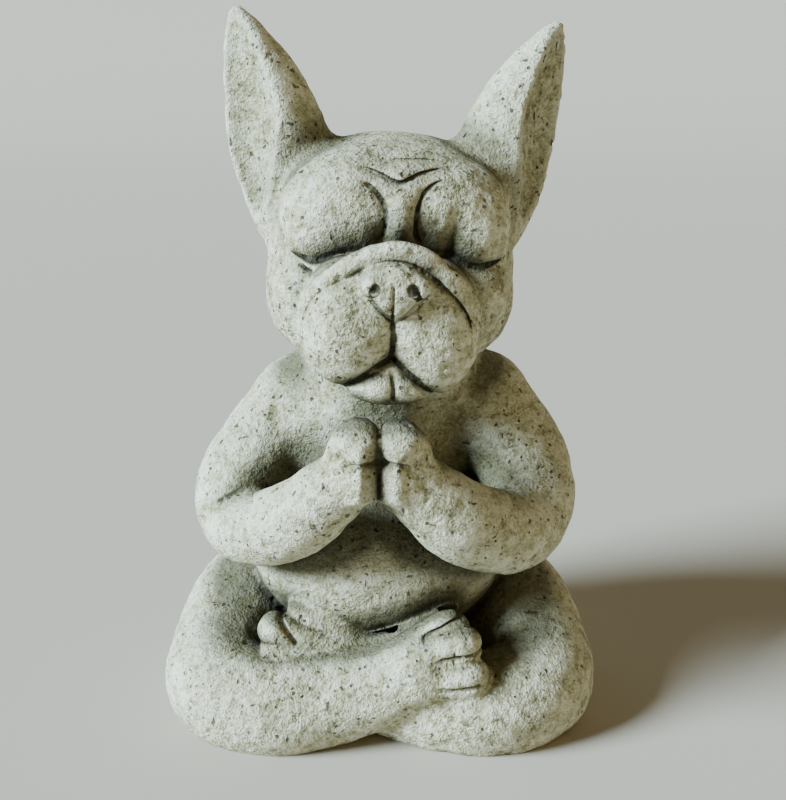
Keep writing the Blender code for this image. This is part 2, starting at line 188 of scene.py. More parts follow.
figure = {
    "headCentre": (5.5, -10.0, 188.0),
    "headRoll": 2.6,        # degrees that its crown leans to the right
    "headYaw": 3.5,         # degrees that its nose turns to the right
    "earTurns": (40, 55),   # degrees that the hollow of each ear faces outwards
    "muzzleX": -1.3,
    "palmsX": 1.3,
    "middle": (1.0, -2.2),  # middle of the footprint on the grid
}


def ear(side, faceTurn):
    cone = [(46, 11, 10, 7), (45, 13, 22, 13), (44, 14, 38, 19), (49, 15, 56, 16.5), (55.5, 15.5, 73, 10.5),
            (60.5, 16, 86.5, 3.2)]
    out = (side * math.sin(math.radians(faceTurn)), -math.cos(math.radians(faceTurn)))
    hollow = [(side * x + out[0] * lift, y + out[1] * lift, z, chord) for x, y, z, chord, lift in [
        (52, 4, 8, 4.0, 5.0), (53, 5, 20, 9.5, 7.5), (54, 7, 40, 16.0, 12.0), (56, 7, 56, 19.0, 14.0),
        (59, 10.5, 73, 13.0, 10.5), (61.5, 14, 88, 7.0, 7.6)]]
    return group([limb([(side * x, y, z, r) for x, y, z, r in cone], blend=1, steps=8),
                  cut(limb(hollow, steps=8), blend=1.0)], blend=9)


def skull():
    forms = [ball((0, 8, 13), (43, 40, 31), blend=1), ball((0, 4, 30), (34, 34, 15.5), blend=8),
             ball((0, -12, 23), (40, 22, 18.5), blend=6), ball((0, -20, -30), (30, 27, 17), blend=8)]
    forms += both(lambda s: [ball((s * 23, -4, -14), (25, 30, 25), blend=8)])
    forms += both(lambda s: [ball((s * 28, 0, 2), (19, 24, 17), blend=8)])
    forms += both(lambda s: [ball((s * 25.5, -20.5, -8), (17, 14.5, 14.5), blend=6)])
    forms += [ball((-21, -14, 20), (19.5, 18.5, 18), turn=(0, -8, 0), blend=9),  # brows
              ball((22, -14, 20), (19, 18, 17), turn=(0, 8, 0), blend=9),
              ball((-12.6, -23.5, 16), (8.4, 10, 15), turn=(0, -8, 0), blend=5),  # their inner folds
              ball((14.2, -23.5, 17), (8.2, 10, 14.5), turn=(0, 10, 0), blend=5),
              ball((-19, -22, 11), (8, 9.5, 8), blend=6),
              ball((-27.5, -19, 14.5), (13.5, 14, 12), turn=(0, -6, 0), blend=7),  # closed lids
              ball((29, -19, 13.5), (12.5, 14.5, 11.5), turn=(0, 4, 0), blend=6),
              ball((0.4, -24, 20), (6, 13, 17), blend=4)]
    forms += [
        crease([(-15, 37.6, 0.3), (-11, 36.9, 1.3), (-7, 35.6, 1.7), (-3.5, 33.9, 1.9), (0, 32.9, 2.0),
                (3.5, 34.4, 1.8), (7.3, 35.9, 1.7), (12, 37.1, 1.5), (16.9, 37.7, 0.5)], 0.8),
        crease([(-3, 33.4, 0.6), (0, 32.4, 1.2), (3, 33.6, 0.6)], 2.4),
        crease([(-7.1, 40.1, 0.4), (-1.7, 40, 0.9), (3.7, 40.2, 1.0), (9.2, 40.2, 1.0), (13, 39.9, 0.9),
                (18, 39.1, 0.8), (24, 38.2, 0.3)], 0.8),
        crease([(-14, 33.2, 0.3), (-9.9, 31.2, 1.4), (-7.3, 28.6, 2.2), (-5.6, 26, 2.6), (-4.7, 23, 2.8),
                (-4.6, 19.4, 2.6), (-5.0, 16, 2.4), (-6.8, 13, 1.8)], 0.65),
        crease([(17, 34.6, 0.3), (13.6, 33.6, 1.2), (10.7, 31.9, 1.8), (8.3, 29.4, 2.3), (7, 26.6, 2.6),
                (6.4, 23.5, 2.6), (5.9, 19.8, 2.6), (6.0, 15.9, 2.4), (7.3, 12.8, 1.8)], 0.65),
        crease([(22.5, 27, 0.2), (21, 21, 0.9), (19.6, 15.5, 1.7), (18.8, 11, 2.2), (18.4, 7.5, 2.4)], 3.6),
        crease([(-37.6, 6.2, 0.6), (-35, 5.4, 1.6), (-33, 4.6, 2.4), (-30, 4.1, 2.8), (-27, 4.2, 2.8),
                (-24, 5.0, 2.6), (-21, 5.7, 2.4), (-18.2, 6.6, 1.6)], 0.7),
        crease([(18.6, 7.0, 2.2), (20.8, 6.2, 2.6), (23.4, 5.1, 2.8), (26.3, 4.2, 3.0), (30, 3.7, 3.0),
                (33.6, 4.1, 2.6), (36.9, 4.9, 1.6), (39.2, 5.6, 0.6)], 0.75),
        limb([(-34.5, -26.5, 3.2, 0.9), (-31.5, -30.6, 2.1, 1.2), (-28, -33.2, 2.0, 1.3),
              (-24.5, -35.5, 3.2, 0.9)], blend=1.2),
        crease([(-35, 2.6, 0.5), (-31.5, 0.6, 1.4), (-27, 0.2, 1.3), (-23, 1.8, 0.5)], 0.9),
    ]
    return forms


def muzzle():
    x = figure["muzzleX"]
    rope = limb([(-33, -30, -25, 2.0), (-32.4, -36.5, -16, 3.0), (-29.7, -41.5, -8, 3.6),
                 (-25.5, -44.3, -1.5, 4), (-19.5, -45.3, 4, 4), (-12, -46, 8.6, 4), (-1.5, -46.6, 11.6, 4),
                 (8, -46.2, 9.6, 4), (14.5, -45.4, 5, 4), (20, -44.6, -0.5, 4), (25, -42.5, -7, 3.8),
                 (28, -37.5, -15, 3.2), (29, -31, -24, 2.2)], blend=4)
    forms = [block((-2, -34, -12), (31, 19, 19), edge=16, blend=1),
             ball((x, -38, -4), (24, 17, 13), blend=5),
             ball((x - 15.5, -39, -21), (17, 17, 18.5), turn=(0, -10, 0), blend=6),  # flews
             ball((x + 15.5, -39, -22.5), (16.5, 17, 20), turn=(0, 10, 0), blend=6)]
    forms += [crease([(-2.0, -10.5, 1.0), (-1.6, -15, 2.4), (-1.3, -20, 2.7), (-1.6, -25, 2.3)], 0.8)]
    forms += [ball((x, -39.5, -37), (18.5, 14.5, 9), blend=0.8),  # chin
              ball((x, -42, -31), (10, 9.5, 7), blend=2),
              ball((-5.8, -48.5, -37.5), (4.8, 4.5, 5), blend=2),
              ball((4.2, -48.5, -37.5), (4.8, 4.5, 5), blend=2)]
    forms += [
        crease([(-1.4, -31, 0.5), (-0.8, -34, 1.6), (-0.6, -37, 2.2), (-0.5, -42, 2.2)], 0.9),
        crease([(-1.6, -25.5, 2.4), (-3.8, -27.3, 2.4), (-7.3, -29.4, 2.4), (-10.7, -32, 2.2),
                (-14.1, -35, 2.0), (-17.6, -38, 1.4)], 0.8),
        crease([(-1.6, -25.5, 2.4), (0.5, -27.3, 2.6), (3.5, -30, 2.6), (7.2, -33, 2.6), (11, -36.5, 2.6),
                (14.5, -39.8, 2.2), (17.5, -42, 1.2)], 0.8),
        crease([(-33.2, -17, 0.4), (-32.2, -11.8, 1.2), (-30.2, -6.8, 2.0), (-26.7, -2.8, 2.3),
                (-22.3, 0.3, 2.2), (-18.5, 2.4, 2.0), (-13.8, 4.9, 1.9), (-8.7, 7.5, 1.8), (-5.4, 8.6, 1.7),
                (-1.9, 9.0, 1.6), (1.5, 8.6, 1.7), (5.1, 7.4, 1.9), (9.2, 4.8, 2.1), (13.2, 1.9, 2.3),
                (17.0, -1.2, 2.4), (20.9, -5.0, 2.4), (24.0, -9.3, 2.0), (25.9, -14, 1.2),
                (27, -18, 0.4)], 0.75),
    ]
    forms += [ball((x, -48.5, 2.5), (11.5, 9.5, 7), blend=3),  # nose
              group([block((x, -51, -1.6), (7.3, 8, 7.3), turn=(0, 45, 0), edge=1.2),
                     keep(ball((x, -44, -0.5), (14, 15.6, 14)))], blend=1.5),
              ball((x - 7.4, -52.5, 0.9), (5, 6.4, 4.8), blend=2),
              ball((x + 7.8, -52.5, 0.9), (5, 6.4, 5), blend=2)]
    forms += [cut(ball((-8.6, -57, 0.2), (1.7, 10, 2.1), turn=(-22, 0, 0)), blend=0.4),  # nostrils
              cut(limb([(-8.5, -57, 0.2, 1.2), (-9.6, -56, -1.6, 1.1), (-9.9, -55, -3.0, 0.8)]), blend=0.6),
              cut(ball((4.2, -57, 0.4), (1.9, 10, 2.4), turn=(-22, 0, 0)), blend=0.4),
              cut(limb([(3.6, -58, 1.2, 1.2), (5.4, -57, -1.2, 1.5), (6.9, -56, -2.8, 1.0)]), blend=0.6),
              crease([(-8.7, 7.6, 0.5), (-5.4, 8.7, 1.1), (-1.9, 9.1, 1.2), (1.5, 8.7, 1.2),
                      (5.1, 7.5, 1.3), (9.2, 4.9, 1.0)], 0.8),
              crease([(x - 1.1, 3, 0.3), (x - 1.1, 0, 1.4), (x - 1, -5, 1.8), (x - 0.8, -10.5, 1.8)], 0.6),
              crease([(-10.8, -2.8, 0.4), (-7.8, -6.4, 0.9), (-5.1, -9.0, 1.1), (-2.2, -11.8, 1.2)], 0.8),
              crease([(9.6, -3.0, 0.4), (6.2, -6.2, 0.7), (3.1, -9.0, 0.8), (-0.6, -11.8, 1.0)], 0.8)]
    return [rope, group(forms, blend=2)]


def head():
    ears = [ear(side, faceTurn) for side, faceTurn in zip((-1, 1), figure["earTurns"])]
    return group(skull() + muzzle() + ears, figure["headCentre"],
                 (0, figure["headRoll"], figure["headYaw"]), blend=4)


def torso():
    return group([
        ball((0, 22, 24), (54, 38, 32), blend=1), ball((0, -6.5, 61.5), (54, 42, 38.5), blend=6),
        ball((-2, 1, 104), (38, 31, 42), blend=10), ball((1, 20, 86), (43, 34, 56), blend=14),
        limb([(6.5, 3, 160, 37), (3, 7, 124, 34)], blend=12), ball((-30, 6, 119), (24, 23, 24), blend=9),
        ball((40, 6, 121), (25, 23, 24), blend=8),
        cut(ball((31, -38, 113), (16, 22, 24)), blend=8), cut(ball((-27, -42, 108), (11, 20, 22)), blend=8),
        block((0, -24, 9), (50, 32, 11), edge=7, blend=4),
        ball((0, 60, 14), (10, 10, 9), blend=5),
    ])


def arm(side):
    if side < 0:
        upper = [(-34, 5, 118, 21), (-47.5, -3, 104, 20.5), (-56, -14, 93.5, 18.6), (-58, -22, 89, 16.5)]
        fore = [(-58.5, -18, 84.5, 15.2), (-53, -34, 84.5, 15.2), (-43, -43.5, 87.5, 15),
                (-30, -53, 96, 15), (-18, -58, 108, 13.2), (-9.8, -60, 116, 12)]
    else:
        upper = [(42, 5, 120, 21.5), (56.5, -3, 106, 20.5), (62.5, -14, 94, 19), (63, -22, 89, 17.5)]
        fore = [(63, -19, 85.5, 17), (58, -32, 83.5, 17), (48, -42, 85, 16.5), (32, -54, 95.5, 16),
                (20, -58, 107, 13.8), (12, -60, 115, 12)]
    folds = {-1: [(-69, 91, 0.3), (-65, 93, 1.4), (-60, 96, 2.2), (-54.5, 98.8, 2.4), (-49, 100.2, 1.6)],
             1: [(46, 96.5, 0.3), (50.5, 99.5, 0.8), (54, 100.2, 0.8), (58, 98.4, 0.5), (62, 96, 0.2)]}
    return group([limb(upper, blend=1, steps=10), limb(fore, blend=1.5, steps=10),
                  crease(folds[side], 1.3, front=-31)], blend=3)


def frontPaws():
    x = figure["palmsX"]
    forms = [group([block((x - 7, -62.5, 125), (9, 9, 14), (0, 0, 45), edge=0.8),
                    keep(ball((x - 7.5, -60, 115), (15, 17, 24)), blend=1.5)], blend=1),
             group([block((x + 7.3, -62.5, 124.5), (9, 9, 14), (0, 0, 42), edge=2.2),
                    keep(ball((x + 7.5, -60, 114.5), (15, 17, 24)), blend=2)], blend=1)]
    forms += [crease([(x - 16.5, 119, 1), (x - 12, 124, 1.6), (x - 6, 126, 1.8), (x, 125.2, 1.8),
                      (x + 6, 126.4, 1.8), (x + 10, 124.8, 1.8), (x + 15, 120, 1)], 1.0, front=-52),
              crease([(x, 142, 1.5), (x, 130, 2.2), (x, 120, 2.4), (x, 112, 2.2), (x, 106, 1)], 0.7,
                     front=-52)]
    return group(forms, blend=5)


def leg(side):
    if side < 0:
        points = [(-34, 22, 34, 31), (-55, 0, 29, 27), (-64, -24, 19, 24), (-63, -42, 15, 23),
                  (-44, -52.5, 13, 21.5), (-20, -52.5, 16, 19.5), (2, -55, 23, 16), (16, -57, 31, 14.5)]
    else:
        points = [(34, 22, 34, 31), (56, 0, 29, 27), (66, -24, 19, 24), (65, -42, 15, 22.5),
                  (46, -52, 12, 21.5), (23, -51, 11.5, 18.5), (2, -46, 12.5, 14.8), (-13, -41, 20, 12.3),
                  (-24, -39, 31.5, 10.5)]
    return limb(points, blend=2, steps=8)


def hindPaw(toes, creases, front):
    lines = [crease([(x, z, 2.0) for x, z in points], 1.0, front=front) for points in creases]
    return group([limb(points, blend=1) for points in toes] + lines, blend=3)


def frontFoot():
    return hindPaw([
        [(-4, -44, 31, 7), (8, -44, 36, 7), (18, -43, 41, 7), (28, -43, 45, 7)],  # fills the gap behind it
        [(10, -55, 33, 9.5), (20, -52, 41, 8.5), (27, -52, 47, 7.5), (30, -52, 48, 7)],
        [(12, -56, 32, 10), (24, -57, 39.5, 9.5), (33, -58, 42.5, 9)],
        [(12, -58, 27, 10), (25, -61, 30.5, 9.5), (35.5, -62, 32, 8.8)],
        [(14, -58, 22, 9), (25, -60, 20, 8), (31, -60, 19.5, 7)],
    ], [
        [(18.9, 46.4), (24, 49.5), (29.4, 52.3), (34.5, 53.2)],
        [(16.2, 37.3), (22.2, 39.9), (29.2, 41.8), (36.1, 42.9), (42, 42.6)],
        [(19.5, 31.4), (24.5, 30.4), (29.2, 30.2), (33, 30.8), (39.5, 31.6)],
    ], front=-44)


def lapFoot():
    return hindPaw([
        [(-12, -38, 33, 10), (-22, -37, 41, 9), (-31, -38, 46, 6.5)],
        [(-18, -40, 32, 10), (-32, -42, 37, 9), (-40.5, -43, 41.5, 8)],
        [(-26, -43, 30, 9), (-41, -46, 32.5, 7.5)],
    ], [
        [(-41, 50.5), (-39.3, 48.4), (-36, 43.5), (-32.7, 39.1)],
        [(-50, 37), (-47, 34.5), (-42, 31.8), (-36.7, 29.7)],
    ], front=-28)


def wholeFigure():
    return group([torso(), leg(1), leg(-1), lapFoot(), frontFoot(), arm(-1), arm(1), frontPaws(), head()])


# Modelling: the solid's skin is remeshed, made finer where the carving is, and settled onto the forms.

skin = {
    "voxel": 2.05,  # mm between points on the body; what is carved gets half
    "carved": {     # lowest and highest corners, mm
        "face": ((-45, -100, 132), (55, -22, 236)),
        "front paws": ((-24, -100, 100), (28, -46, 146)),
        "lap foot": ((-56, -100, 24), (-14, -30, 58)),
        "front foot": ((12, -100, 8), (50, -40, 64)),
    },
    "bend": 0.3,      # radians between two faces of a crease that gets finer still
    "bigFace": 1.5,   # mm2: only smaller faces do, so the body stays as it is
    "rounds": 4,      # of settling, after each change of the mesh
    "bodyReach": 1.2, "carvedReach": 0.8, "creaseReach": 0.5,  # mm that a point may move in a round
    "pace": 0.9,      # share of the way to the form that it goes
    "flattest": 0.2,  # smallest squared slope of a field that is trusted
    "slack": 0.4,     # how far the points even out in each round
    "sight": 5.0,     # mm around a form where its distance is worked out
    # how shut in each point is: the material paints shade and dirt from it into the carved lines
    "hollowGaps": ((1.2, 0.12), (3.0, 0.22), (7.0, 0.32), (14.0, 0.34)),  # mm out from the skin, weight
    # the same at wider gaps: painted shade and moss in deep hollows
    "shadeAndMossGaps": ((14.0, 0.4), (26.0, 0.6)),
    "darkerOnTop": 0.3,  # extra darkening toward the dark olive tone where it faces up
    "lumps": ((15.0, 0.50), (6.0, 0.34), (2.6, 0.20)),  # mm across, mm high: the hand-worked unevenness
    "pits": 900,       # air holes left by the casting
    "pitRadius": (0.7, 1.8), "pitDepth": (0.3, 0.9),  # mm
    "pitRim": 1.4,     # where a pit runs out, in radii
    "nearSkin": 6.0,   # mm: a random place further off makes no pit
    "seed": 11,
}


def readPoints(mesh):
    points = np.empty(len(mesh.vertices) * 3, np.float32)
    mesh.vertices.foreach_get("co", points)
    return points.reshape(-1, 3).astype(float)


def writePoints(mesh, points):
    mesh.vertices.foreach_set("co", points.astype(np.float32).ravel())
    mesh.update()


def remeshed(mesh, voxel):
    helper = bpy.data.objects.new("helper", mesh)
    bpy.context.collection.objects.link(helper)
    remesh = helper.modifiers.new("Remesh", "REMESH")
    remesh.mode = "VOXEL"
    remesh.voxel_size = voxel
    made = bpy.data.meshes.new_from_object(helper.evaluated_get(bpy.context.evaluated_depsgraph_get()))
    bpy.data.objects.remove(helper)
    return made


def neighbourMean(mesh):
    ends = np.empty(len(mesh.edges) * 2, np.int32)
    mesh.edges.foreach_get("vertices", ends)
    a, b = ends.reshape(-1, 2).T
    count = np.bincount(ends, minlength=len(mesh.vertices))

    def mean(values):
        columns = [np.bincount(a, column[b], len(column)) + np.bincount(b, column[a], len(column))
                   for column in np.atleast_2d(values.T)]
        return (np.array(columns) / count).T.reshape(values.shape)

    return mean


def distanceAndSlope(field, points):
    step = 0.05
    here = field(points, skin["sight"])
    slope = [field(points + step * axis, skin["sight"]) - here for axis in np.eye(3)]
    return here, np.stack(slope, axis=1) / step


def settle(mesh, field, reach):
    points = readPoints(mesh)
    mean = neighbourMean(mesh)
    for turn in range(skin["rounds"]):
        if turn < skin["rounds"] - 1:
            points += skin["slack"] * (mean(points) - points)
        here, slope = distanceAndSlope(field, points)
        move = -(here / np.maximum((slope**2).sum(axis=1), skin["flattest"]))[:, None] * slope
        length = np.linalg.norm(move, axis=1)
        points += move * np.minimum(skin["pace"], reach / np.maximum(length, 1e-9))[:, None]
    writePoints(mesh, points)


def makeFiner(mesh, wanted):
    work = bmesh.new()
    work.from_mesh(mesh)
    chosen = {face.index for face in work.faces if wanted(face)}
    edges = [edge for edge in work.edges if any(face.index in chosen for face in edge.link_faces)]
    bmesh.ops.subdivide_edges(work, edges=edges, cuts=1, use_grid_fill=True)
    bmesh.ops.triangulate(work, faces=[face for face in work.faces if len(face.verts) > 4])
    work.to_mesh(mesh)
    work.free()


def roughen(points, normals):
    for size, high in skin["lumps"]:
        lift = np.array([noise.noise(Vector(p) / size) for p in points])
        points = points + normals * (lift * high)[:, None]
    chosen = np.random.default_rng(skin["seed"])
    tree = kdtree.KDTree(len(points))
    for index, p in enumerate(points):
        tree.insert(p, index)
    tree.balance()
    low, high = points.min(axis=0), points.max(axis=0)
    pit = np.zeros(len(points))
    made = 0
    while made < skin["pits"]:  # a random place in the box counts where it lies close to the skin
        place, _, gap = tree.find(Vector(chosen.uniform(low, high)))
        radius = chosen.uniform(*skin["pitRadius"])
        depth = chosen.uniform(*skin["pitDepth"])
        if gap > skin["nearSkin"]:
            continue
        made += 1
        rim = radius * skin["pitRim"]
        for _, near, gap in tree.find_range(place, rim):
            pit[near] = max(pit[near], depth * max(0.0, 1.0 - (gap / rim) ** 2))
    return points - normals * pit[:, None]


def hollowness(field, points, normals, gaps):  # 0 in the open to 1 where other forms shut a point in
    shut = np.zeros(len(points))
    for gap, weight in gaps:
        there = field(points + normals * gap, gap + 1.0)
        shut += weight * np.clip(1.0 - there / gap, 0.0, 1.0)
    return shut


def makeStatue():
    field = wholeFigure()["field"]
    work = bmesh.new()
    work.from_mesh(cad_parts["statue"].data)
    bmesh.ops.remove_doubles(work, verts=work.verts, dist=0.00001)
    mesh = bpy.data.meshes.new("statue")
    work.to_mesh(mesh)
    work.free()
    toGrid = Matrix.Translation((figure["middle"][0], figure["middle"][1], 0.0)) @ Matrix.Scale(1000.0, 4)
    mesh.transform(toGrid)
    solid = readPoints(mesh)
    mesh = remeshed(mesh, skin["voxel"])
    print("skin remeshed", len(mesh.vertices))
    settle(mesh, field, skin["bodyReach"])

    def isCarved(face):
        middle = face.calc_center_median()
        return any(all(low[i] < middle[i] < high[i] for i in range(3))
                   for low, high in skin["carved"].values())

    def isCrease(face):
        return (face.calc_area() < skin["bigFace"]
                and max(edge.calc_face_angle(0.0) for edge in face.edges) > skin["bend"])

    makeFiner(mesh, isCarved)
    settle(mesh, field, skin["carvedReach"])
    print("face, paws and feet made finer", len(mesh.vertices))
    makeFiner(mesh, isCrease)
    settle(mesh, field, skin["creaseReach"])
    print("creases made finer", len(mesh.vertices))
    points = readPoints(mesh)
    slope = distanceAndSlope(field, points)[1]
    normals = slope / np.maximum(np.linalg.norm(slope, axis=1), 1e-6)[:, None]
    # how shut in each point is: painted shade and dirt in the carved lines, painted shade and moss in deep
    # hollows, darker where it faces up
    hollow = hollowness(field, points, normals, skin["hollowGaps"])
    shadeAndMoss = hollowness(field, points, normals, skin["shadeAndMossGaps"])
    shadeAndMoss += skin["darkerOnTop"] * np.clip(normals[:, 2], 0.0, 1.0)
    points = np.clip(roughen(points, normals), solid.min(axis=0), solid.max(axis=0))
    writePoints(mesh, points)
    mean = neighbourMean(mesh)
    raised = np.einsum("ij,ij->i", points - mean(mean(mean(points))), normals)
    for name, values in (("hollow", hollow), ("shadeAndMoss", shadeAndMoss), ("raised", raised)):
        mesh.attributes.new(name, "FLOAT", "POINT").data.foreach_set("value", values.astype(np.float32))
    mesh.transform(toGrid.inverted())
    mesh.shade_smooth()
    statue = bpy.data.objects.new("cast_statue", mesh)
    bpy.context.collection.objects.link(statue)
    triangles = sum(len(face.vertices) - 2 for face in mesh.polygons)
    print("statue modelled", len(mesh.vertices), "points", triangles, "triangles")
    return statue


# Materials

def linear(hexColour):
    channels = [int(hexColour[i:i + 2], 16) / 255 for i in (1, 3, 5)]
    return [*[c / 12.92 if c < 0.04045 else ((c + 0.055) / 1.055) ** 2.4 for c in channels], 1.0]


def addNode(tree, kind, inputs=None, give=0, **settings):  # inputs are plain values or other nodes' outputs
    made = tree.nodes.new(kind)
    for name, value in settings.items():
        setattr(made, name, value)
    for name, value in (inputs or {}).items():
        if isinstance(value, bpy.types.NodeSocket):
            tree.links.new(value, made.inputs[name])
        else:
            made.inputs[name].default_value = value
    return made.outputs[give]


stoneFinish = {
    "dark": "#6f6b4a", "middle": "#aba884", "pale": "#d9d8bc",  # damp, usual and dusty stone
    # painted shade and dirt for the carved lines, painted shade and moss for deep hollows
    "shadeAndDirt": "#1f1c11", "mossAndShade": "#48452a",
    "mostPale": 0.55, "mostMossAndShade": 0.85, "mostShadeAndDirt": 0.85,  # how far each covers the stone's own colour
    "size": {
        "mottle": 17.0, "patch": 5.0, "speckle": 2.0, "grain": 1.0,  # mm across; real grit is finer still
        "pores": 2.6, "airHoles": 3.2, "bigHoles": 10.0, "strokes": 5.0,  # mm between them
    },
    "holeWidth": {"airHoles": 0.26, "bigHoles": 0.12, "strokes": 0.16},     # the widest, in spacings
    "holesLeftOut": {"airHoles": 0.30, "bigHoles": 0.50, "strokes": 0.30},  # share that stays closed
    "strokeWidth": 0.22,              # of a drag mark, as a share of its length
    "swirl": 420.0, "bend": 0.0022,   # per metre and metres: how ragged the rims of the holes are
    "rimWidth": 0.05,                 # over which a hole turns dark, in spacings
    "poreLevel": (0.385, 0.355),      # where a pore begins and where it is full
    "holeDepth": 0.7, "relief": 1.7,  # share of the relief, and the relief in mm
    "gloss": 0.3, "dryRoughness": 0.86, "shadeAndDirtRoughness": 0.97,
}


def castStone():
    # Cast stone: cement and fine grit from a mould, gone grey-green outdoors. Matt and grainy, peppered
    # with dark air holes and short drag marks, with painted shade and dirt in the creases and deep hollows.
    material = bpy.data.materials.new("weatheredCastStone")
    material.use_nodes = True
    tree = material.node_tree
    shader = tree.nodes["Principled BSDF"]
    place = addNode(tree, "ShaderNodeTexCoord", give="Object")
    perMetre = {name: 1000.0 / size for name, size in stoneFinish["size"].items()}

    # a slightly bent place gives every hole a ragged rim, and two stretched ones make the drag marks
    swirl = addNode(tree, "ShaderNodeTexNoise", {"Vector": place, "Scale": stoneFinish["swirl"],
                                                 "Detail": 4.0}, give="Color")
    shift = addNode(tree, "ShaderNodeVectorMath", {0: swirl, 1: [stoneFinish["bend"]] * 3},
                    operation="MULTIPLY")
    ragged = addNode(tree, "ShaderNodeVectorMath", {0: place, 1: shift}, operation="ADD")
    down = addNode(tree, "ShaderNodeMapping", {"Vector": ragged, "Rotation": (0.2, 0.5, 0.0),
                                               "Scale": (1.0, 1.0, stoneFinish["strokeWidth"])})
    across = addNode(tree, "ShaderNodeMapping", {"Vector": ragged, "Rotation": (0.1, -0.7, 0.3),
                                                 "Scale": (stoneFinish["strokeWidth"], 1.0, 1.0)})

    # four sizes of cloudy unevenness
    cloud = {}
    for name, detail, rough in (("mottle", 5.0, 0.6), ("patch", 3.0, 0.55), ("speckle", 3.0, 0.6),
                                ("grain", 2.0, 0.6)):
        cloud[name] = addNode(tree, "ShaderNodeTexNoise", {"Vector": place, "Scale": perMetre[name],
                                                           "Detail": detail, "Roughness": rough})

    # pores are the lowest spots of a rough noise, holes are dots of mixed width, 1 inside and 0 outside
    pitted = addNode(tree, "ShaderNodeTexNoise", {"Vector": ragged, "Scale": perMetre["pores"],
                                                  "Detail": 5.0, "Roughness": 0.78})
    begin, full = stoneFinish["poreLevel"]
    marks = addNode(tree, "ShaderNodeMapRange", {"Value": pitted, "From Min": begin, "From Max": full})
    for name, vector in (("airHoles", ragged), ("bigHoles", ragged), ("strokes", down),
                         ("strokes", across)):
        gap = addNode(tree, "ShaderNodeTexVoronoi", {"Vector": vector, "Scale": perMetre[name],
                                                     "Randomness": 1.0}, give="Distance")
        lot = addNode(tree, "ShaderNodeSeparateColor", {"Color": gap.node.outputs["Color"]})
        closed, widest = stoneFinish["holesLeftOut"][name], stoneFinish["holeWidth"][name]
        width = addNode(tree, "ShaderNodeMapRange", {"Value": lot, "From Min": closed, "To Max": widest})
        inside = addNode(tree, "ShaderNodeMath", {0: width, 1: gap}, operation="SUBTRACT")
        hole = addNode(tree, "ShaderNodeMapRange", {"Value": inside, "From Max": stoneFinish["rimWidth"]})
        marks = addNode(tree, "ShaderNodeMath", {0: marks, 1: hole}, operation="MAXIMUM")

    # the stone's own colour, paler on worn edges, salted with grit; dark olive in random moss patches,
    # darker where it faces up, and painted shade and moss in deep hollows
    coarse = addNode(tree, "ShaderNodeMix", {"Factor": 0.58, "A": cloud["mottle"], "B": cloud["patch"]})
    tone = addNode(tree, "ShaderNodeMix", {"Factor": 0.3, "A": coarse, "B": cloud["speckle"]})
    colour = addNode(tree, "ShaderNodeValToRGB", {"Fac": tone})
    ramp = colour.node.color_ramp
    ramp.elements.new(0.475)
    for element, at, name in zip(ramp.elements, (0.38, 0.475, 0.59), ("dark", "middle", "pale")):
        element.position = at
        element.color = linear(stoneFinish[name])
    raised = addNode(tree, "ShaderNodeAttribute", give="Fac", attribute_name="raised")
    worn = addNode(tree, "ShaderNodeMapRange", {"Value": raised, "From Min": 0.02, "From Max": 0.35,
                                                "To Max": stoneFinish["mostPale"]})
    colour = addNode(tree, "ShaderNodeMix", {"Factor": worn, 6: colour, 7: linear(stoneFinish["pale"])},
                     give=2, data_type="RGBA")
    # painted shade and moss where other forms shut the stone in, darker where it faces up, over random moss
    # patches
    shadeAndMoss = addNode(tree, "ShaderNodeAttribute", give="Fac", attribute_name="shadeAndMoss")
    mossAndShadeLevel = addNode(tree, "ShaderNodeMath", {0: cloud["patch"], 1: 0.5, 2: shadeAndMoss}, operation="MULTIPLY_ADD")
    mossAndShadeMix = addNode(tree, "ShaderNodeMapRange", {"Value": mossAndShadeLevel, "From Min": 0.4, "From Max": 0.95,
                                                 "To Max": stoneFinish["mostMossAndShade"]})
    colour = addNode(tree, "ShaderNodeMix", {"Factor": mossAndShadeMix, 6: colour, 7: linear(stoneFinish["mossAndShade"])},
                     give=2, data_type="RGBA")
    grit = addNode(tree, "ShaderNodeCombineColor", {"Red": cloud["grain"], "Green": cloud["grain"],
                                                    "Blue": cloud["grain"]})
    colour = addNode(tree, "ShaderNodeMix", {"Factor": 0.6, 6: colour, 7: grit},
                     give=2, data_type="RGBA", blend_type="SOFT_LIGHT")

